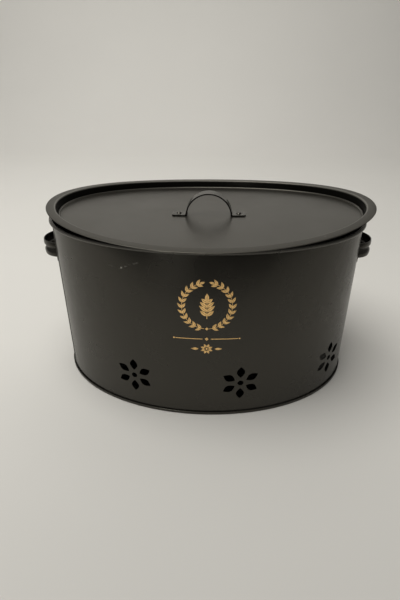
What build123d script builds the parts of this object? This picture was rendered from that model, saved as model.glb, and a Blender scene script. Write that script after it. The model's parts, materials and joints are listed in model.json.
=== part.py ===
from build123d import *
from math import atan2, cos, pi, sin
import os

# Oval kitchen bin of painted sheet steel with a lift-off lid.
# +X runs along the oval, -Y is the front, +Z is up.
# The origin is on the surface it stands on, under the centre of the oval.
# All sizes are in millimetres and all angles in degrees.

# Tub wall
tub_length = 375.4
tub_width = 260.8
wall_sheet = 0.8
shoulder_height = 206.7
rim_dip = 4.6
side_seam_width = 4.5
side_seam_stand = 0.35
side_seam_gap = 3.0

# Rounded shoulder, groove and rolled curl that stiffen the rim
shoulder_round = 1.2
shoulder_turn = 60
shoulder_steps = 2
groove_depth = 0.9
groove_rise = 1.2
groove_width = 0.5
curl_diameter = 4.2
curl_overhang = 3.2
curl_rise = 2.7
curl_start = 180
curl_end = -105
curl_steps = 6

# Base pan and the folded seam that holds it to the foot of the wall
base_sheet = 0.8
base_rise = 4.4
seam_height = 4.2
seam_stand = 1.65
seam_round = 0.75
seam_turn = 60
seam_steps = 2
fold_clearance = 0.05

# Flower vents; the side seam of the wall takes the place of one more
vent_count = 7
vent_height = 46.0
vent_shift = -79.6
petal_count = 6
petal_inner = 7.6
petal_outer = 23.1
petal_width = 9.8
petal_steps = 5
eye_diameter = 7.0
vent_margin = 8.0
vent_cut = 10.0

# Lid
lid_overhang = 7.5
lid_gap = 0.7
lid_sheet = 0.8
lid_rise = 10.0
edge_turn = 0.5
flange_crown = 0.8
recess_gap = 1.3
recess_depth = 9.4
recess_draft = 0.9
recess_corner = 1.4
recess_steps = 2
bead_gap = 1.0
bead_radius = 1.2
bead_steps = 4

# How the lid lies on the rim
lid_shift = 3.5
lid_tilt = 0.47

# Lid handle, a strap bent to an arch on two feet
strap_width = 15.0
strap_sheet = 1.5
strap_span = 90.0
arch_radius = 27.5
arch_height = 28.0
strap_bend = 1.5
foot_corner = 3.0
foot_clearance = 0.03

# Side handles, pressed strap loops; each sits a little round from its end of the oval,
# the right one towards the back and higher, the left one towards the front and lower
grip_drop = 40.0
grip_stagger = 1.6
grip_shift = 5.0
grip_strap_height = 18.4
grip_reach = 17.9
grip_setback = 5.2
grip_width = 51.0
grip_sheet = 1.0
grip_groove = 2.4
grip_groove_half = 4.0
grip_lip = 0.5
grip_lip_height = 2.6
grip_foot_width = 16.0
grip_foot_height = 33.0
grip_foot_corner = 5.0
grip_foot_blank = 40.0

# Rivets
rivet_diameter = 3.0
rivet_head = 6.5
rivet_head_height = 1.5
rivet_head_flat = 3.9
rivet_tail = 5.6
rivet_tail_height = 1.0
rivet_clearance = 0.05

oval_spans = 8

# Sizes that follow from these
curl_height = shoulder_height + curl_rise
lid_length = tub_length + 2 * lid_overhang
lid_width = tub_width + 2 * lid_overhang
lid_edge_height = curl_height + curl_diameter / 2 + lid_gap
flange_width = lid_overhang + wall_sheet + groove_depth + recess_gap + lid_sheet / 2


def half_oval(half_length, half_width, height, bend, side):
    """Back (side 1) or front (side -1) half of an oval edge, lifted by bend * x * x."""
    points = []
    for i in range(oval_spans + 1):
        x = half_length * cos(pi * i / oval_spans)
        y = side * half_width * sin(pi * i / oval_spans)
        points.append(Vector(x, y, height + bend * x * x))
    start = Vector(0, side * half_width * pi, 0)
    steps = [i / oval_spans for i in range(oval_spans + 1)]
    return Edge.make_spline(points, tangents=[start, -start], parameters=steps, scale=False)


def oval_solid(length, width, section, bends, disc):
    """Solid whose section, a closed list of (outward, up) points, runs round an oval.

    Each point has its own bend along X. With disc, the last and first points
    are the edges of two faces that close the middle.
    """
    halves = []
    for (outward, up), bend in zip(section, bends):
        a = length / 2 + outward
        b = width / 2 + outward
        halves.append([half_oval(a, b, up, bend, side) for side in (1, -1)])
    faces = []
    count = len(halves)
    for i in range(count - 1 if disc else count):
        for side in (0, 1):
            here = halves[i][side]
            after = halves[(i + 1) % count][side]
            faces.append(Face.make_surface_from_curves(here, after))
    if disc:
        faces.append(Face.make_surface_from_curves(halves[0][0], halves[0][1]))
        faces.append(Face.make_surface_from_curves(halves[-1][0], halves[-1][1]))
    solid = Solid(Shell(faces))
    if solid.volume < 0:
        solid = Solid(Shell([-f for f in faces]))
    return solid.clean()


def sheet_section(line, sheet):
    """Closed section of a sheet whose middle follows a line of (outward, up) points."""
    left = []
    right = []
    for i, (x, z) in enumerate(line):
        before = line[max(i - 1, 0)]
        after = line[min(i + 1, len(line) - 1)]
        first = atan2(z - before[1], x - before[0]) if i else None
        second = atan2(after[1] - z, after[0] - x) if i < len(line) - 1 else None
        first = second if first is None else first
        second = first if second is None else second
        turn = (second - first + pi) % (2 * pi) - pi
        middle = first + turn / 2
        reach = sheet / 2 / cos(turn / 2)
        left.append((x - reach * sin(middle), z + reach * cos(middle)))
        right.append((x + reach * sin(middle), z - reach * cos(middle)))
    return left + right[::-1]


def arc_line(centre, radius, start, end, steps):
    """Points along an arc of a section, from one angle to another."""
    line = []
    for i in range(steps + 1):
        angle = pi / 180 * (start + (end - start) * i / steps)
        line.append((centre[0] + radius * cos(angle), centre[1] + radius * sin(angle)))
    return line


def oval_prism(half_length, half_width, bottom, top):
    """Upright oval block between two heights."""
    return Pos(0, 0, bottom) * extrude(Ellipse(half_length, half_width), top - bottom)


def wall_plane(distance, height):
    """Plane on the outside of the wall; distance runs round the oval from the front centre."""
    edge = Edge.make_ellipse(tub_length / 2, tub_width / 2)
    along = (0.75 * edge.length + distance) % edge.length
    point = edge.position_at(along, position_mode=PositionMode.LENGTH)
    tangent = edge.tangent_at(along, position_mode=PositionMode.LENGTH)
    normal = Vector(tangent.Y, -tangent.X, 0)
    return Plane(Vector(point.X, point.Y, height), x_dir=tangent, z_dir=normal)


def end_plane(side, across, height):
    """Plane on the outside of the wall near one end, at a distance across from the middle."""
    a = tub_length / 2
    b = tub_width / 2
    x = side * a * (1 - (across / b) ** 2) ** 0.5
    normal = Vector(x / a ** 2, across / b ** 2, 0).normalized()
    return Plane(Vector(x, across, height), x_dir=Vector(-normal.Y, normal.X, 0), z_dir=normal)


def rivet(plane, above, below):
    """Pan-headed rivet through sheets that lie above and below a plane."""
    head = rivet_head / 2
    tail = rivet_tail / 2
    shank = rivet_diameter / 2
    outline = Polyline(
        (0, above + rivet_head_height),
        (rivet_head_flat / 2, above + rivet_head_height),
        (head, above),
        (shank, above),
        (shank, -below),
        (tail, -below),
        (tail, -below - rivet_tail_height),
        (0, -below - rivet_tail_height),
        close=True,
    )
    return plane * revolve(Plane.XZ * make_face(outline), Axis.Z)


def rivet_hole(plane, above, below):
    """Clearance hole for a rivet, cut well past the sheets."""
    radius = rivet_diameter / 2 + rivet_clearance
    return plane * (Pos(0, 0, (above - below) / 2) * Cylinder(radius, above + below + 2))


rim_bend = -rim_dip / (tub_length / 2) ** 2
lid_bend = lid_rise / (lid_length / 2) ** 2

# Tub wall: foot, straight side, groove, then the curl
wall_middle = -wall_sheet / 2
neck = wall_middle - groove_depth
curl_radius = (curl_diameter - wall_sheet) / 2
curl_centre = (curl_overhang - curl_diameter / 2, curl_height)
wall_foot = base_sheet + fold_clearance
neck_bottom = shoulder_height + groove_rise
vent_band_top = vent_height + petal_outer + vent_margin
wall_line = [(wall_middle, wall_foot), (wall_middle, vent_band_top)]
shoulder_centre = (wall_middle - shoulder_round, shoulder_height)
wall_line += arc_line(shoulder_centre, shoulder_round, 0, shoulder_turn, shoulder_steps)
wall_line += [(neck, neck_bottom), (neck, neck_bottom + groove_width)]
wall_line += arc_line(curl_centre, curl_radius, curl_start, curl_end, curl_steps)
wall_section = sheet_section(wall_line, wall_sheet)
wall_bends = [rim_bend if up > vent_band_top + 1 else 0 for outward, up in wall_section]
tub_wall = oval_solid(tub_length, tub_width, wall_section, wall_bends, False)

# One vent: pointed petals round an eye
reach = petal_outer - petal_inner
upper = []
for i in range(petal_steps + 1):
    share = i / petal_steps
    bulge = sin(pi * share)
    upper.append((petal_inner + share * reach, bulge * petal_width / 2))
lower = [(along, -across) for along, across in upper[-2:0:-1]]
petal = make_face(Polyline(*upper, *lower, close=True))
flower = Sketch() + RegularPolygon(eye_diameter / 2, 2 * petal_count)
for i in range(petal_count):
    flower += Rot(0, 0, 90 + i * 360 / petal_count) * petal
oval_round = Edge.make_ellipse(tub_length / 2, tub_width / 2).length
vent_pitch = oval_round / (vent_count + 1)
holes = []
for i in range(vent_count):
    plane = wall_plane(vent_shift + i * vent_pitch, vent_height)
    holes += [plane * extrude(shape, vent_cut / 2, both=True) for shape in flower.faces()]

# Side seam, where the ends of the wall sheet are welded
side_seam_from = seam_height + side_seam_gap
side_seam_to = shoulder_height - rim_dip - side_seam_gap
side_seam = Box(side_seam_width, side_seam_to - side_seam_from, 2 * side_seam_stand)
side_seam = Pos(0, (side_seam_from + side_seam_to) / 2, 0) * side_seam
tub_wall = tub_wall + wall_plane(vent_shift - vent_pitch, 0) * side_seam

# Side handle: a grooved strap loop, closed by the wall, on two feet inside the loop
grip_half = grip_strap_height / 2
grip_line = [
    (-grip_sheet / 2 - grip_lip, grip_half),
    (-grip_sheet / 2, grip_half - grip_lip_height),
    (-grip_sheet / 2, grip_groove_half),
    (-grip_sheet / 2 - grip_groove, 0),
    (-grip_sheet / 2, -grip_groove_half),
    (-grip_sheet / 2, grip_lip_height - grip_half),
    (-grip_sheet / 2 - grip_lip, -grip_half),
]
grip_section = sheet_section(grip_line, grip_sheet)
grip_flat = [0] * len(grip_section)
loop = oval_solid(2 * (grip_reach + grip_setback), grip_width, grip_section, grip_flat, False)
wall_out = fold_clearance
wall_block = oval_prism(tub_length / 2 + wall_out, tub_width / 2 + wall_out, 0, curl_height)
foot_out = wall_out + grip_sheet
foot_block = oval_prism(tub_length / 2 + foot_out, tub_width / 2 + foot_out, 0, curl_height)
foot_across = grip_width / 2 - grip_foot_width / 2
foot_shape = RectangleRounded(grip_foot_width, grip_foot_height, grip_foot_corner)


def grip_plane(side, across):
    """Plane on the wall behind one handle, at a distance across from its middle."""
    height = shoulder_height - grip_drop + side * grip_stagger
    return end_plane(side, side * grip_shift + across, height)


def side_handle(side):
    """Loop and feet of the handle at one end; side is 1 for +X and -1 for -X."""
    seat = grip_plane(side, 0)
    centre = seat.origin - grip_setback * seat.z_dir
    body = Plane(centre, x_dir=seat.z_dir, z_dir=(0, 0, 1)) * loop - wall_block
    body = body.solids().sort_by(Axis.X)[-1 if side > 0 else 0]
    for across in (-foot_across, foot_across):
        foot = seat * (Pos(across, 0, 0) * extrude(foot_shape, grip_foot_blank / 2, both=True))
        body = body + (foot & foot_block) - wall_block
    for across in (-foot_across, foot_across):
        body = body - rivet_hole(grip_plane(side, across), foot_out, wall_sheet)
    return body


def side_rivets(side):
    """The two rivets of one side handle."""
    above = foot_out + fold_clearance
    below = wall_sheet + fold_clearance
    return [rivet(grip_plane(side, across), above, below) for across in (-foot_across, foot_across)]


for side in (-1, 1):
    for across in (-foot_across, foot_across):
        holes.append(rivet_hole(grip_plane(side, across), foot_out, wall_sheet))
tub_wall = tub_wall - holes

# Base pan: sunk panel, upright, then the rounded fold round the foot of the wall
inner_fold = -wall_sheet - fold_clearance - base_sheet / 2
fold_centre = seam_stand - base_sheet / 2 - seam_round
fold_low = base_sheet / 2 + seam_round
fold_high = seam_height - base_sheet / 2 - seam_round
corner = base_sheet
pan_line = [(inner_fold - 4 * corner, base_rise), (inner_fold - corner, base_rise)]
pan_line += [(inner_fold, base_rise - corner), (inner_fold, base_sheet / 2)]
pan_line += arc_line((fold_centre, fold_low), seam_round, -90, 0, seam_steps)
pan_line += arc_line((fold_centre, fold_high), seam_round, 0, seam_turn, seam_steps)
pan_section = sheet_section(pan_line, base_sheet)
base_pan = oval_solid(tub_length, tub_width, pan_section, [0] * len(pan_section), True)

# Lid pan: flange, recess wall, ring bead, centre panel
edge_middle = lid_edge_height - lid_sheet / 2
crown = edge_middle + flange_crown
floor = crown - recess_depth
flange_in = -flange_width
wall_in = flange_in - recess_draft
bead_in = wall_in - bead_gap
corner_centre = (flange_in + recess_corner, crown - recess_corner)
lid_line = [(-lid_sheet / 2, edge_middle - edge_turn), (-lid_sheet, edge_middle)]
lid_line += arc_line(corner_centre, recess_corner, 90, 180, recess_steps)
lid_line += [(wall_in, floor)]
lid_line += arc_line((bead_in - bead_radius, floor), bead_radius, 0, 180, bead_steps)
lid_line += [(bead_in - 4 * bead_radius, floor)]
lid_section = sheet_section(lid_line[::-1], lid_sheet)
lid_bends = [lid_bend] * len(lid_section)
lid_pan = oval_solid(lid_length, lid_width, lid_section, lid_bends, True)
panel_top = floor + lid_sheet / 2

# Lid handle: arch and feet as one bent strap
outer_radius = arch_radius + strap_sheet / 2
inner_radius = arch_radius - strap_sheet / 2
arch_centre = arch_height - outer_radius
foot_from = arch_radius
foot_to = strap_span / 2
from_up = lid_bend * foot_from ** 2 + foot_clearance
to_up = lid_bend * foot_to ** 2 + foot_clearance
feet = Sketch()
for side in (-1, 1):
    feet += Polygon(
        (side * (foot_from - strap_sheet), from_up),
        (side * foot_to, to_up),
        (side * foot_to, to_up + strap_sheet),
        (side * (foot_from - strap_sheet), from_up + strap_sheet),
        align=None,
    )
arch = Pos(0, arch_centre) * (Circle(outer_radius) - Circle(inner_radius))
arch = arch & (Pos(0, from_up) * Rectangle(strap_span, 2 * arch_height, align=(Align.CENTER, Align.MIN)))
inside = Pos(0, arch_centre) * Circle(inner_radius)
strap = arch + (feet - inside)
lid_handle = extrude(Plane.XZ * strap, strap_width / 2, both=True)
bends = [
    e
    for e in lid_handle.edges().filter_by(Axis.Y)
    if e.center().Z > from_up + strap_sheet / 2 and abs(e.center().X) < foot_to - 1
]
lid_handle = fillet(bends, strap_bend)
ends = lid_handle.edges().filter_by(Axis.Z, tolerance=3).group_by(Axis.X)
lid_handle = fillet(list(ends[0]) + list(ends[-1]), foot_corner)
lid_handle = Pos(0, 0, panel_top) * lid_handle

# Rivets of the lid handle, square to the bent panel
lid_rivets = []
lid_holes = []
rivet_at = (outer_radius + strap_span / 2) / 2
for side in (-1, 1):
    slope = 2 * lid_bend * rivet_at
    up = panel_top + lid_bend * rivet_at ** 2
    normal = Vector(-side * slope, 0, 1).normalized()
    plane = Plane((side * rivet_at, 0, up), x_dir=Vector(1, 0, side * slope), z_dir=normal)
    above = strap_sheet + foot_clearance + fold_clearance
    lid_rivets.append(rivet(plane, above, lid_sheet + fold_clearance))
    lid_holes.append(rivet_hole(plane, above, lid_sheet))
lid_pan = lid_pan - lid_holes
lid_handle = lid_handle - lid_holes

lid_rest = Pos(lid_shift, 0, lid_edge_height) * Rot(0, -lid_tilt, 0) * Pos(0, 0, -lid_edge_height)

nodes = {
    "tub_wall": tub_wall,
    "base_pan": base_pan,
    "side_handle_left": side_handle(-1),
    "side_handle_right": side_handle(1),
    "side_handle_rivets": side_rivets(-1) + side_rivets(1),
    "lid_pan": lid_rest * lid_pan,
    "lid_handle": lid_rest * lid_handle,
    "lid_handle_rivets": [lid_rest * r for r in lid_rivets],
}

os.makedirs("parts", exist_ok=True)
for name, shape in nodes.items():
    solids = shape if isinstance(shape, list) else [shape]
    solids = [s for piece in solids for s in piece.solids()]
    export_step(Compound(children=solids) if len(solids) > 1 else solids[0], f"parts/{name}.step")
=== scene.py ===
"""Looks of an oval painted-steel storage bin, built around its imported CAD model.

Metres and radians, +Z up, -Y front.
"""

import json
import math

import bpy
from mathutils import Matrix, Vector

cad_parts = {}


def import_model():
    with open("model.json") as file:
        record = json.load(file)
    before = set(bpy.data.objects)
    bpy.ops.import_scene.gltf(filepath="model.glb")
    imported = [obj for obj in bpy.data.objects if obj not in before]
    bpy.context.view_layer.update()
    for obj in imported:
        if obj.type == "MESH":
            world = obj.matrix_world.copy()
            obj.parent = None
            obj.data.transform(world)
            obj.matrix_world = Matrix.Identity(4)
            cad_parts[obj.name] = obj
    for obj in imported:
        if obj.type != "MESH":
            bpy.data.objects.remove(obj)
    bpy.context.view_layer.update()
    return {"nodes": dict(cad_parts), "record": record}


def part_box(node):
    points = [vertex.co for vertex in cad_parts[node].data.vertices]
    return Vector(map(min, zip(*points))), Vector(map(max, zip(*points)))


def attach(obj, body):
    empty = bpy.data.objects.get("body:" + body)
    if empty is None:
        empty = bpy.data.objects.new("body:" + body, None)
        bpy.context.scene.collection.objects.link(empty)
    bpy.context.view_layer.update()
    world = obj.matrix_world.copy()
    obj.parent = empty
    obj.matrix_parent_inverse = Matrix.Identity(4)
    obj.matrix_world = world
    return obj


# Camera, fitted to the photograph: place, heading and downward pitch, focal length in pixels
CAMERA_PLACE = (0.0214, -0.5211, 0.3781)
CAMERA_HEADING = -0.0552
CAMERA_PITCH = 0.515
FOCAL_PIXELS = 438.95
FRAME_PIXELS = 600
SENSOR = 36.0

# Lamps: name, place, point aimed at, side of the square, power
LAMPS = (
    ("key", (-0.5, -0.35, 2.1), (-0.15, 0.15, 0), 1.5, 37),
    ("fill", (-0.5, -1.5, 0.16), (0, 0, 0.12), 0.3, 3),
    ("back", (-0.1, 1.9, 1.3), (0, 0, 0.2), 2.2, 5.5),
    ("wash", (-0.7, 0.9, 2.2), (-1.0, 2.2, 0.5), 2.2, 13),
)
LIGHT_COLOUR = (1.0, 0.985, 0.95)
WORLD_STRENGTH = 0.25
VIEW_GAMMA = 0.85

# Colours, linear
PAINT = (0.0185, 0.0170, 0.0140)
# Pale colour of dust and scuffs; also the colour of the painted highlights on the tub's rim and the lid's
# corner
PALE_DUST_AND_HIGHLIGHT = (0.5, 0.49, 0.46)
GOLD = (1.0, 0.68, 0.30)
PAPER = (0.66, 0.65, 0.625)
CARD_BLACK = (0.02, 0.02, 0.02)

# Powder coat on each slot: its roughness, and its share of the paint's colour, lowest on the handles,
# where the darker colour is painted shade
ROUGHNESS = {"body_paint": 0.26, "lid_paint": 0.32, "handle_paint": 0.24}
SHADE = {"body_paint": 1.0, "lid_paint": 1.0, "handle_paint": 0.4}
SPECULAR = 0.8
SHEEN_TINT = (1.0, 0.955, 0.84)

# Blotches of the coat: scale and detail of their noise, shades of the colour at its ends,
# and the stretch of the noise over which the roughness changes by the amounts given
BLOTCH_NOISE = (22, 3)
BLOTCH_SHADES = (0.85, 1.15)
BLOTCH_STRETCH = (0.3, 0.7)
BLOTCH_ROUGHNESS = (-0.02, 0.03)

# Fine grain of the coat: scale and detail of its noise, strength and height of the bump
GRAIN_NOISE = (1100, 3)
GRAIN_STRENGTH = 0.25
GRAIN_HEIGHT = 0.00004

# Specks of dust: how far up a surface faces where they start and where they are full, their strength,
# cells to a metre, the share of cells left clean, and the radius of a speck in units of a cell
DUST_SLOPE = (0.7, 0.95)
DUST_STRENGTH = 0.55
DUST_CELLS = 170
DUST_CLEAN = 0.975
DUST_REACH = 0.07

# Faint scuffs, left of the ornament: from and to along X, height at each end, half breadth, strength
SCUFFS = (
    (-0.0967, -0.0800, 0.1850, 0.1843, 0.0006, 0.12),
    (-0.0850, -0.0822, 0.1843, 0.1845, 0.0009, 0.45),
    (-0.0830, -0.0640, 0.1850, 0.1930, 0.0009, 0.16),
)

# Scuffs show only where Y is under SCUFF_BACK. A noise of the scale and detail given breaks them up over
# a stretch of its values, and their ends fade out over SCUFF_FADE.
SCUFF_BACK = -0.05
SCUFF_NOISE = (300, 4)
SCUFF_STRETCH = (0.42, 0.62)
SCUFF_FADE = 0.002

# The rim of the tub has a painted highlight, paler than the wall: from and to along Z at the front centre,
# and how pale it gets. Its shoulder has a paler painted highlight still, in a band: middle and half
# breadth along Z, and how softly it ends.
# The whole rim dips towards the ends of the oval, by RIM_DIP.
RIM_HIGHLIGHT = (0.2062, 0.2072)
RIM_PALE = 0.10
SHOULDER = (0.2071, 0.0005, 0.0004)
SHOULDER_PALE = 0.12
RIM_DIP = 0.0046

# How far the rim curl stands out beyond the wall
CURL_OVERHANG = 0.0032

# Flange of the lid: its breadth, from and to outwards from its inner edge where the coat gets duller,
# and by how much
FLANGE_WIDTH = 0.0113
FLANGE_STEP = (0, 0.001)
FLANGE_DULL = 0.10

# Painted highlight on the inner corner of the flange: its middle, outwards from the inner edge, half
# breadth and how softly it ends, and how pale it is
CORNER = (0.0009, 0.0004, 0.0005)
CORNER_HIGHLIGHT = 0.14

# Upright wall of the lid's recess, nearly black, painted darker and duller than the rest as painted shade:
# a band just inside the flange, given in the same way, and the share of colour and gloss it keeps
RECESS_WALL = (-0.00045, 0.00045, 0.0002)
RECESS_SHADE = 0.2

# Points nearer than this are joined for the shading, and a corner sharper than this angle stays sharp
JOIN_DISTANCE = 0.000005
CREASE = math.radians(50)

# Rounding of the handles' sheet edges, and the strips across it
HANDLE_ROUND = 0.0003
HANDLE_STRIPS = 2

# Gold ink: scale and detail of its unevenness, the stretch of the noise that shows, the darker shade,
# how far off the wall the print starts, and how thick it is
GOLD_NOISE = (900, 3)
GOLD_STRETCH = (0.35, 0.7)
GOLD_SHADE = 0.8
GOLD_ROUGHNESS = 0.5
GOLD_METALLIC = 0.25
INK_LIFT = 0.00008
INK_THICKNESS = 0.00006

# Printed ornament: its middle along the wall from the front centre, and the steps in which a distance
# along the oval is walked
ORNAMENT_CENTRE = 0.007
WALL_STEPS = 40

# Any leaf: strips along it, half the bare vein, and an exponent that, under 1, brings the widest part
# nearer to the stalk
LEAF_STEPS = 6
LEAF_VEIN = 0.00012
LEAF_BULGE = 0.8

# Wreath: height of its middle, half its size, the angles left bare at the foot and top of each branch,
# pairs of leaves, thickness of the stem, splay of the leaves, length and breadth of a leaf and of the tip,
# and the diamond at the foot
WREATH_HEIGHT = 0.149
WREATH_ACROSS = 0.0265
WREATH_UP = 0.0275
WREATH_FOOT = 0.1
WREATH_OPENING = 0.30
WREATH_LEAVES = 11
WREATH_STEM = 0.00055
WREATH_SPLAY = 0.62
WREATH_LEAF = (0.0074, 0.0030)
WREATH_TIP = (0.0062, 0.0028)
WREATH_DIAMOND = 0.0019

# Sprig in the wreath: its foot and top from the wreath's middle, the thickness of its stem, lengths of its
# pairs of leaves, height of the first above the foot and of each next one above the last, their splay and
# breadth, and length and breadth of the top leaf
SPRIG_FOOT = -0.0150
SPRIG_TOP = 0.0065
SPRIG_STEM = 0.0008
SPRIG_LEAVES = (0.0098, 0.0110, 0.0098, 0.0078)
SPRIG_FIRST = 0.0035
SPRIG_PITCH = 0.0052
SPRIG_SPLAY = 0.85
SPRIG_BREADTH = 0.0042
SPRIG_TIP = (0.0090, 0.0044)

# Rule: its height, where each half starts and ends, its thickness and strips, and the diamond in between.
# Bead off each end: its radius, how far beyond the rule its middle is, and its corners.
RULE_HEIGHT = 0.1085
RULE_START = 0.0045
RULE_HALF = 0.034
RULE_THICKNESS = 0.0009
RULE_STEPS = 12
RULE_DIAMOND = 0.0021
BEAD_RADIUS = 0.0010
BEAD_GAP = 0.0016
BEAD_CORNERS = 10

# Rosette: its height, radius and corners of the dot, leaves, the radius they start from, their length and
# breadth, and where the lying leaf on either side starts, with its length and breadth
ROSETTE_HEIGHT = 0.0955
ROSETTE_DOT = 0.0012
ROSETTE_CORNERS = 12
ROSETTE_LEAVES = 8
ROSETTE_RADIUS = 0.0019
ROSETTE_LEAF = (0.0050, 0.0028)
LYING_START = 0.0088
LYING_LEAF = (0.0085, 0.0030)

# Paper sweep: its front edge and where it turns up along Y, radius and strips of the turn, half breadth,
# and height
SWEEP_FRONT = -3.0
SWEEP_TURN = 1.3
SWEEP_RADIUS = 0.9
SWEEP_STEPS = 16
SWEEP_HALF = 4.0
SWEEP_TOP = 2.6

# Its fibres: scale and detail of their noise, and the two shades of the colour.
# Painted shade darkens it a little towards the front: from and to along Y, and what share of its colour is
# left.
PAPER_NOISE = (3, 4)
PAPER_SHADES = (0.98, 1.02)
PAPER_ROUGHNESS = 0.8
PAPER_FADE = (0.0, -0.5)
PAPER_FRONT = 0.8

# Dark card just above the paper in front of the view, a painted dark reflection mirrored in the wall:
# from and to along Y, half its length along X, and its height
CARD_NEAR = -0.42
CARD_FAR = -1.6
CARD_HALF = 1.0
CARD_LIFT = 0.002


def shade(colour, share):
    """A share of a colour."""
    return tuple(share * c for c in colour)


def new_material(name):
    """New material and its Principled shader."""
    material = bpy.data.materials.new(name)
    material.use_nodes = True
    return material, material.node_tree.nodes["Principled BSDF"]


def object_place(tree):
    """Object coordinates, as a socket."""
    return tree.nodes.new("ShaderNodeTexCoord").outputs["Object"]


def split(tree, vector):
    """Sockets X, Y and Z of a vector."""
    node = tree.nodes.new("ShaderNodeSeparateXYZ")
    tree.links.new(vector, node.inputs[0])
    return node.outputs


def noise(tree, place, scale, detail):
    """Noise texture."""
    texture = tree.nodes.new("ShaderNodeTexNoise")
    texture.inputs["Scale"].default_value = scale
    texture.inputs["Detail"].default_value = detail
    tree.links.new(place, texture.inputs["Vector"])
    return texture.outputs["Fac"]


def maths(tree, operation, *values):
    """Result of an operation on numbers or sockets."""
    node = tree.nodes.new("ShaderNodeMath")
    node.operation = operation
    for socket, value in zip(node.inputs, values):
        if isinstance(value, (int, float)):
            socket.default_value = value
        else:
            tree.links.new(value, socket)
    return node.outputs[0]


def ramp(tree, value, low, high, start, end):
    """Maps value from low..high to start..end, clamped."""
    node = tree.nodes.new("ShaderNodeMapRange")
    for name, number in (("From Min", low), ("From Max", high), ("To Min", start), ("To Max", end)):
        node.inputs[name].default_value = number
    tree.links.new(value, node.inputs["Value"])
    return node.outputs["Result"]


def mix_colour(tree, share, first, second):
    """Mix of two colours, each a tuple or a socket."""
    node = tree.nodes.new("ShaderNodeMix")
    node.data_type = "RGBA"
    tree.links.new(share, node.inputs["Factor"])
    for socket, value in ((node.inputs["A"], first), (node.inputs["B"], second)):
        if isinstance(value, tuple):
            socket.default_value = (*value, 1)
        else:
            tree.links.new(value, socket)
    return node.outputs["Result"]


def band(tree, value, middle, half, soft):
    """1 within half of the middle, falling to 0 over a soft edge."""
    distance = maths(tree, "ABSOLUTE", maths(tree, "SUBTRACT", value, middle))
    return ramp(tree, distance, half, half + soft, 1, 0)


def wall_halves():
    """Half length and half width of the wall's oval, without the rim curl."""
    low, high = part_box("tub_wall")
    return (high[0] - low[0]) / 2 - CURL_OVERHANG, (high[1] - low[1]) / 2 - CURL_OVERHANG


def scuff_mask(tree, place):
    """Broken lines of light scuffs on the front of the wall."""
    parts = split(tree, place)
    front = maths(tree, "LESS_THAN", parts["Y"], SCUFF_BACK)
    broken = ramp(tree, noise(tree, place, *SCUFF_NOISE), *SCUFF_STRETCH, 0, 1)
    shown = maths(tree, "MULTIPLY", front, broken)
    total = 0.0
    for start, end, low, high, half, strength in SCUFFS:
        along = band(tree, parts["X"], (start + end) / 2, (end - start) / 2, SCUFF_FADE)
        slope = (high - low) / (end - start)
        rise = maths(tree, "MULTIPLY_ADD", parts["X"], slope, low - slope * start)
        above = maths(tree, "SUBTRACT", parts["Z"], rise)
        up = band(tree, above, 0, half / 2, half)
        both = maths(tree, "MULTIPLY", along, up)
        total = maths(tree, "MULTIPLY_ADD", both, strength, total)
    return maths(tree, "MULTIPLY", total, shown)


def dust_mask(tree, place):
    """A few specks of dust on what faces up."""
    normal = tree.nodes.new("ShaderNodeNewGeometry").outputs["Normal"]
    facing_up = ramp(tree, split(tree, normal)["Z"], *DUST_SLOPE, 0, DUST_STRENGTH)
    cells = tree.nodes.new("ShaderNodeTexVoronoi")
    cells.inputs["Scale"].default_value = DUST_CELLS
    tree.links.new(place, cells.inputs["Vector"])
    chance = tree.nodes.new("ShaderNodeSeparateColor")
    tree.links.new(cells.outputs["Color"], chance.inputs[0])
    rare = maths(tree, "GREATER_THAN", chance.outputs[0], DUST_CLEAN)
    small = maths(tree, "LESS_THAN", cells.outputs["Distance"], DUST_REACH)
    return maths(tree, "MULTIPLY", maths(tree, "MULTIPLY", rare, small), facing_up)


def rim_highlight_mask(tree, place):
    """Painted highlight: how pale the coat is on the rim and shoulder of the tub."""
    parts = split(tree, place)
    share = maths(tree, "DIVIDE", parts["X"], wall_halves()[0])
    dip = maths(tree, "MULTIPLY", share, share)
    level = maths(tree, "MULTIPLY_ADD", dip, RIM_DIP, parts["Z"])
    rim = ramp(tree, level, *RIM_HIGHLIGHT, 0, RIM_PALE)
    shoulder = band(tree, level, *SHOULDER)
    return maths(tree, "MULTIPLY_ADD", shoulder, SHOULDER_PALE, rim)


def from_flange(tree, place):
    """Distance outwards from the inner edge of the lid's flange; it comes out short towards the ends."""
    low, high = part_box("lid_pan")
    parts = split(tree, place)
    half_length = (high[0] - low[0]) / 2 - FLANGE_WIDTH
    half_width = (high[1] - low[1]) / 2 - FLANGE_WIDTH
    along = maths(tree, "SUBTRACT", parts["X"], (low[0] + high[0]) / 2)
    squares = []
    for value, half in ((along, half_length), (parts["Y"], half_width)):
        share = maths(tree, "DIVIDE", value, half)
        squares.append(maths(tree, "MULTIPLY", share, share))
    reach = maths(tree, "SQRT", maths(tree, "ADD", *squares))
    return maths(tree, "MULTIPLY_ADD", reach, half_width, -half_width)


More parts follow.
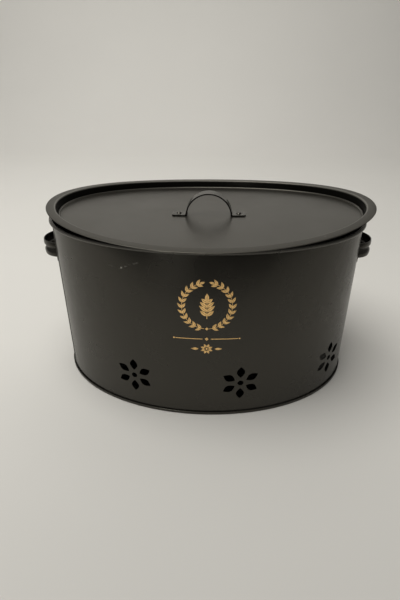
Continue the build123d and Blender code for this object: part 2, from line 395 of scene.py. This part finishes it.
def paint_material(name):
    """Satin black powder coat with fine grain, blotches of sheen and dust.

    The tub also has scuffs, and a painted highlight on its rim and shoulder. The lid also has a duller
    flange with a painted highlight on its corner, and painted shade on its recess wall.
    """
    material, shader = new_material(name)
    tree = material.node_tree
    place = object_place(tree)
    blotch = noise(tree, place, *BLOTCH_NOISE)
    # The handles' copy of the paint is darker, a painted shade
    paint = shade(PAINT, SHADE[name])
    colour = mix_colour(tree, blotch, *(shade(paint, share) for share in BLOTCH_SHADES))
    colour = mix_colour(tree, dust_mask(tree, place), colour, PALE_DUST_AND_HIGHLIGHT)
    rough = ramp(tree, blotch, *BLOTCH_STRETCH, *(ROUGHNESS[name] + change for change in BLOTCH_ROUGHNESS))
    if name == "body_paint":
        colour = mix_colour(tree, scuff_mask(tree, place), colour, PALE_DUST_AND_HIGHLIGHT)
        # Painted highlight on the tub's rim and shoulder
        colour = mix_colour(tree, rim_highlight_mask(tree, place), colour, PALE_DUST_AND_HIGHLIGHT)
    if name == "lid_paint":
        outward = from_flange(tree, place)
        # Painted highlight on the inner corner of the flange
        edge = maths(tree, "MULTIPLY", band(tree, outward, *CORNER), CORNER_HIGHLIGHT)
        colour = mix_colour(tree, edge, colour, PALE_DUST_AND_HIGHLIGHT)
        # Painted shade on the upright wall of the recess: darker colour and less gloss
        painted_recess_shade = band(tree, outward, *RECESS_WALL)
        colour = mix_colour(tree, painted_recess_shade, colour, shade(paint, RECESS_SHADE))
        gloss = ramp(tree, painted_recess_shade, 0, 1, SPECULAR, RECESS_SHADE * SPECULAR)
        tree.links.new(gloss, shader.inputs["Specular IOR Level"])
        rough = maths(tree, "ADD", rough, ramp(tree, outward, *FLANGE_STEP, 0, FLANGE_DULL))
    tree.links.new(colour, shader.inputs["Base Color"])
    tree.links.new(rough, shader.inputs["Roughness"])
    shader.inputs["Specular IOR Level"].default_value = SPECULAR
    shader.inputs["Specular Tint"].default_value = (*SHEEN_TINT, 1)
    bump = tree.nodes.new("ShaderNodeBump")
    bump.inputs["Strength"].default_value = GRAIN_STRENGTH
    bump.inputs["Distance"].default_value = GRAIN_HEIGHT
    tree.links.new(noise(tree, place, *GRAIN_NOISE), bump.inputs["Height"])
    tree.links.new(bump.outputs["Normal"], shader.inputs["Normal"])
    return material


def gold_material():
    """Screen print of gold bronze ink, slightly uneven."""
    material, shader = new_material("gold_ink")
    tree = material.node_tree
    uneven = noise(tree, object_place(tree), *GOLD_NOISE)
    share = ramp(tree, uneven, *GOLD_STRETCH, 0, 1)
    colour = mix_colour(tree, share, shade(GOLD, GOLD_SHADE), GOLD)
    tree.links.new(colour, shader.inputs["Base Color"])
    shader.inputs["Roughness"].default_value = GOLD_ROUGHNESS
    shader.inputs["Metallic"].default_value = GOLD_METALLIC
    return material


def sweep_material():
    """Pale paper of the studio sweep, with painted shade towards the front."""
    material, shader = new_material("sweep_paper")
    tree = material.node_tree
    place = object_place(tree)
    fibre = noise(tree, place, *PAPER_NOISE)
    paper = mix_colour(tree, fibre, *(shade(PAPER, share) for share in PAPER_SHADES))
    # Painted shade: the paper darkens towards the front
    front = ramp(tree, split(tree, place)["Y"], *PAPER_FADE, 0, 1)
    colour = mix_colour(tree, front, paper, shade(PAPER, PAPER_FRONT))
    tree.links.new(colour, shader.inputs["Base Color"])
    shader.inputs["Roughness"].default_value = PAPER_ROUGHNESS
    return material


def card_material():
    """Black of the card."""
    material, shader = new_material("card_black")
    shader.inputs["Base Color"].default_value = (*CARD_BLACK, 1)
    return material


def soften(node, rounded):
    """Shades a CAD node's strips as one rounded surface up to a crease; can also round its sheet edges."""
    tree = bpy.data.node_groups.new("soften_" + node.name, "GeometryNodeTree")
    tree.interface.new_socket("Geometry", in_out="INPUT", socket_type="NodeSocketGeometry")
    tree.interface.new_socket("Geometry", in_out="OUTPUT", socket_type="NodeSocketGeometry")
    start = tree.nodes.new("NodeGroupInput")
    merge = tree.nodes.new("GeometryNodeMergeByDistance")
    merge.inputs["Distance"].default_value = JOIN_DISTANCE
    plain = tree.nodes.new("GeometryNodeRemoveAttribute")
    plain.inputs["Name"].default_value = "custom_normal"
    faces = tree.nodes.new("GeometryNodeSetShadeSmooth")
    edges = tree.nodes.new("GeometryNodeSetShadeSmooth")
    edges.domain = "EDGE"
    end = tree.nodes.new("NodeGroupOutput")
    chain = (start, merge, plain, faces, edges, end)
    for before, after in zip(chain, chain[1:]):
        tree.links.new(before.outputs[0], after.inputs[0])
    angle = tree.nodes.new("GeometryNodeInputMeshEdgeAngle")
    under = tree.nodes.new("FunctionNodeCompare")
    under.operation = "LESS_THAN"
    under.inputs[1].default_value = CREASE
    tree.links.new(angle.outputs["Unsigned Angle"], under.inputs[0])
    tree.links.new(under.outputs[0], edges.inputs["Shade Smooth"])
    node.modifiers.new("soften", "NODES").node_group = tree
    if rounded:
        bevel = node.modifiers.new("round_edges", "BEVEL")
        bevel.width = HANDLE_ROUND
        bevel.segments = HANDLE_STRIPS
        bevel.limit_method = "ANGLE"
        bevel.angle_limit = CREASE
    weigh = node.modifiers.new("weigh_normals", "WEIGHTED_NORMAL")
    weigh.mode = "FACE_AREA"
    weigh.keep_sharp = True


def put(name, data):
    """New object in the scene."""
    thing = bpy.data.objects.new(name, data)
    bpy.context.scene.collection.objects.link(thing)
    return thing


def put_mesh(name, vertices, faces, material):
    """New mesh object in the scene."""
    mesh = bpy.data.meshes.new(name)
    mesh.from_pydata(vertices, [], faces)
    mesh.materials.append(material)
    return put(name, mesh)


def aim(thing, place, direction):
    """Places a lamp or camera and turns it to look along a direction."""
    thing.location = place
    thing.rotation_mode = "QUATERNION"
    thing.rotation_quaternion = direction.to_track_quat("-Z", "Y")


def leaf(base, heading, length, width):
    """Strips of a pointed leaf, parted along its middle vein."""
    forward = (math.cos(heading), math.sin(heading))
    strips = []
    for side in (-1, 1):
        edges = []
        for i in range(LEAF_STEPS + 1):
            share = i / LEAF_STEPS
            reach = max(LEAF_VEIN, width / 2 * math.sin(math.pi * share ** LEAF_BULGE))
            for across in (side * LEAF_VEIN, side * reach):
                x = base[0] + share * length * forward[0] - across * forward[1]
                z = base[1] + share * length * forward[1] + across * forward[0]
                edges.append((x, z))
        for i in range(LEAF_STEPS):
            near, far = edges[2 * i:2 * i + 2], edges[2 * i + 2:2 * i + 4]
            strips.append([near[0], far[0], far[1], near[1]][::side])
    return strips


def stroke(line, width):
    """Strips of an even line through points (across, up)."""
    sides = []
    for i, (x, z) in enumerate(line):
        before, after = line[max(i - 1, 0)], line[min(i + 1, len(line) - 1)]
        run = math.hypot(after[0] - before[0], after[1] - before[1])
        across = (-(after[1] - before[1]) / run * width / 2, (after[0] - before[0]) / run * width / 2)
        sides.append(((x - across[0], z - across[1]), (x + across[0], z + across[1])))
    return [[here[0], after[0], after[1], here[1]] for here, after in zip(sides, sides[1:])]


def disc(centre, radius, corners):
    """Flat shape with equal sides: four corners make a diamond, ten or more a dot."""
    turns = [2 * math.pi / corners * i for i in range(corners)]
    return [[(centre[0] + radius * math.cos(turn), centre[1] + radius * math.sin(turn)) for turn in turns]]


def wreath():
    """Two leafy branches that rise from the foot of an oval and leave it open at the top."""
    strips = disc((0, WREATH_HEIGHT - WREATH_UP), WREATH_DIAMOND, 4)
    pitch = 4
    steps = pitch * WREATH_LEAVES
    arc = math.pi - WREATH_OPENING - WREATH_FOOT
    for side in (-1, 1):
        branch = []
        for i in range(steps + 1):
            turn = -math.pi / 2 + side * (WREATH_FOOT + arc * i / steps)
            branch.append((WREATH_ACROSS * math.cos(turn), WREATH_HEIGHT + WREATH_UP * math.sin(turn)))
        strips += stroke(branch[::side], WREATH_STEM)
        for i in range(WREATH_LEAVES):
            here, after = branch[pitch * i + 2], branch[pitch * i + 3]
            heading = math.atan2(after[1] - here[1], after[0] - here[0])
            for splay in (-WREATH_SPLAY, WREATH_SPLAY):
                strips += leaf(here, heading + splay, *WREATH_LEAF)
        end, before = branch[-1], branch[-2]
        strips += leaf(end, math.atan2(end[1] - before[1], end[0] - before[0]), *WREATH_TIP)
    return strips


def sprig():
    """Upright sprig in the middle of the wreath."""
    foot = WREATH_HEIGHT + SPRIG_FOOT
    top = WREATH_HEIGHT + SPRIG_TOP
    strips = stroke([(0, foot), (0, top)], SPRIG_STEM)
    for i, length in enumerate(SPRIG_LEAVES):
        up = foot + SPRIG_FIRST + SPRIG_PITCH * i
        for side in (-1, 1):
            strips += leaf((0, up), math.pi / 2 - side * SPRIG_SPLAY, length, SPRIG_BREADTH)
    return strips + leaf((0, top), math.pi / 2, *SPRIG_TIP)


def divider():
    """Thin rules either side of a diamond, with a bead off each end."""
    strips = disc((0, RULE_HEIGHT), RULE_DIAMOND, 4)
    step = (RULE_HALF - RULE_START) / RULE_STEPS
    for side in (-1, 1):
        points = [(side * (RULE_START + step * i), RULE_HEIGHT) for i in range(RULE_STEPS + 1)]
        strips += stroke(points[::side], RULE_THICKNESS)
        strips += disc((side * (RULE_HALF + BEAD_GAP), RULE_HEIGHT), BEAD_RADIUS, BEAD_CORNERS)
    return strips


def rosette():
    """Small leaves round a dot, with a leaf lying either side."""
    strips = disc((0, ROSETTE_HEIGHT), ROSETTE_DOT, ROSETTE_CORNERS)
    for i in range(ROSETTE_LEAVES):
        heading = math.pi / ROSETTE_LEAVES * (2 * i + 1)
        base = (ROSETTE_RADIUS * math.cos(heading), ROSETTE_HEIGHT + ROSETTE_RADIUS * math.sin(heading))
        strips += leaf(base, heading, *ROSETTE_LEAF)
    for side in (-1, 1):
        strips += leaf((side * LYING_START, ROSETTE_HEIGHT), math.pi / 2 - side * math.pi / 2, *LYING_LEAF)
    return strips


def wall_point(along, up, half_length, half_width):
    """Point just off the outside of the wall, at a distance round the oval from its front centre."""
    angle = -math.pi / 2
    for _ in range(WALL_STEPS):
        stretch = math.hypot(half_length * math.sin(angle), half_width * math.cos(angle))
        angle += along / WALL_STEPS / stretch
    normal = Vector((math.cos(angle) / half_length, math.sin(angle) / half_width, 0)).normalized()
    return Vector((half_length * math.cos(angle), half_width * math.sin(angle), up)) + INK_LIFT * normal


def front_ornament():
    """Gold print on the front of the wall."""
    half_length, half_width = wall_halves()
    vertices = []
    faces = []
    for strip in wreath() + sprig() + divider() + rosette():
        faces.append(list(range(len(vertices), len(vertices) + len(strip))))
        for across, up in strip:
            vertices.append(wall_point(ORNAMENT_CENTRE + across, up, half_length, half_width))
    print_piece = put_mesh("front_ornament", vertices, faces, gold_material())
    ink = print_piece.modifiers.new("ink", "SOLIDIFY")
    ink.thickness = INK_THICKNESS
    ink.offset = 1
    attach(print_piece, "tub")


def sweep():
    """Floor that curves up into a backdrop behind the object."""
    line = [(SWEEP_FRONT, 0.0), (SWEEP_TURN, 0.0)]
    for i in range(1, SWEEP_STEPS + 1):
        angle = math.pi / 2 * i / SWEEP_STEPS
        line.append((SWEEP_TURN + SWEEP_RADIUS * math.sin(angle), SWEEP_RADIUS * (1 - math.cos(angle))))
    line.append((SWEEP_TURN + SWEEP_RADIUS, SWEEP_TOP))
    vertices = [(x, y, z) for y, z in line for x in (-SWEEP_HALF, SWEEP_HALF)]
    faces = [(2 * i, 2 * i + 1, 2 * i + 3, 2 * i + 2) for i in range(len(line) - 1)]
    floor = put_mesh("sweep", vertices, faces, sweep_material())
    floor.data.shade_smooth()


def dark_card():
    """Card for a painted dark reflection: the paint's gloss mirrors it, camera and diffuse rays miss it,
    and it casts no shadow.
    """
    corners = [(x, y, CARD_LIFT) for y in (CARD_FAR, CARD_NEAR) for x in (-CARD_HALF, CARD_HALF)]
    card = put_mesh("dark_card", corners, [(0, 1, 3, 2)], card_material())
    card.visible_camera = False
    card.visible_diffuse = False
    card.visible_shadow = False


def area_light(name, place, target, size, power):
    """Square soft light aimed at a point."""
    light = bpy.data.lights.new(name, "AREA")
    light.shape = "SQUARE"
    light.size = size
    light.energy = power
    light.color = LIGHT_COLOUR
    aim(put(name, light), place, Vector(target) - Vector(place))


def camera():
    """Camera at the photograph's view."""
    data = bpy.data.cameras.new("camera")
    data.sensor_width = SENSOR
    data.lens = FOCAL_PIXELS / FRAME_PIXELS * SENSOR
    eye = put("camera", data)
    level = math.cos(CAMERA_PITCH)
    across = math.sin(CAMERA_HEADING) * level
    ahead = math.cos(CAMERA_HEADING) * level
    aim(eye, CAMERA_PLACE, Vector((across, ahead, -math.sin(CAMERA_PITCH))))
    bpy.context.scene.camera = eye


def world():
    """Even soft light from all round."""
    made = bpy.data.worlds.new("studio")
    made.use_nodes = True
    background = made.node_tree.nodes["Background"]
    background.inputs["Color"].default_value = (*LIGHT_COLOUR, 1)
    background.inputs["Strength"].default_value = WORLD_STRENGTH
    bpy.context.scene.world = made


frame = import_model()

paints = {slot: paint_material(slot) for slot in ROUGHNESS}
for part in frame["record"]["subparts"]:
    node = frame["nodes"][part["node"]]
    node.data.materials.clear()
    node.data.materials.append(paints[part["material_slot"]])
    soften(node, "handle" in part["node"] and "rivets" not in part["node"])

front_ornament()
sweep()
dark_card()
world()
for lamp in LAMPS:
    area_light(*lamp)
camera()
bpy.context.scene.view_settings.view_transform = "Standard"
bpy.context.scene.view_settings.gamma = VIEW_GAMMA
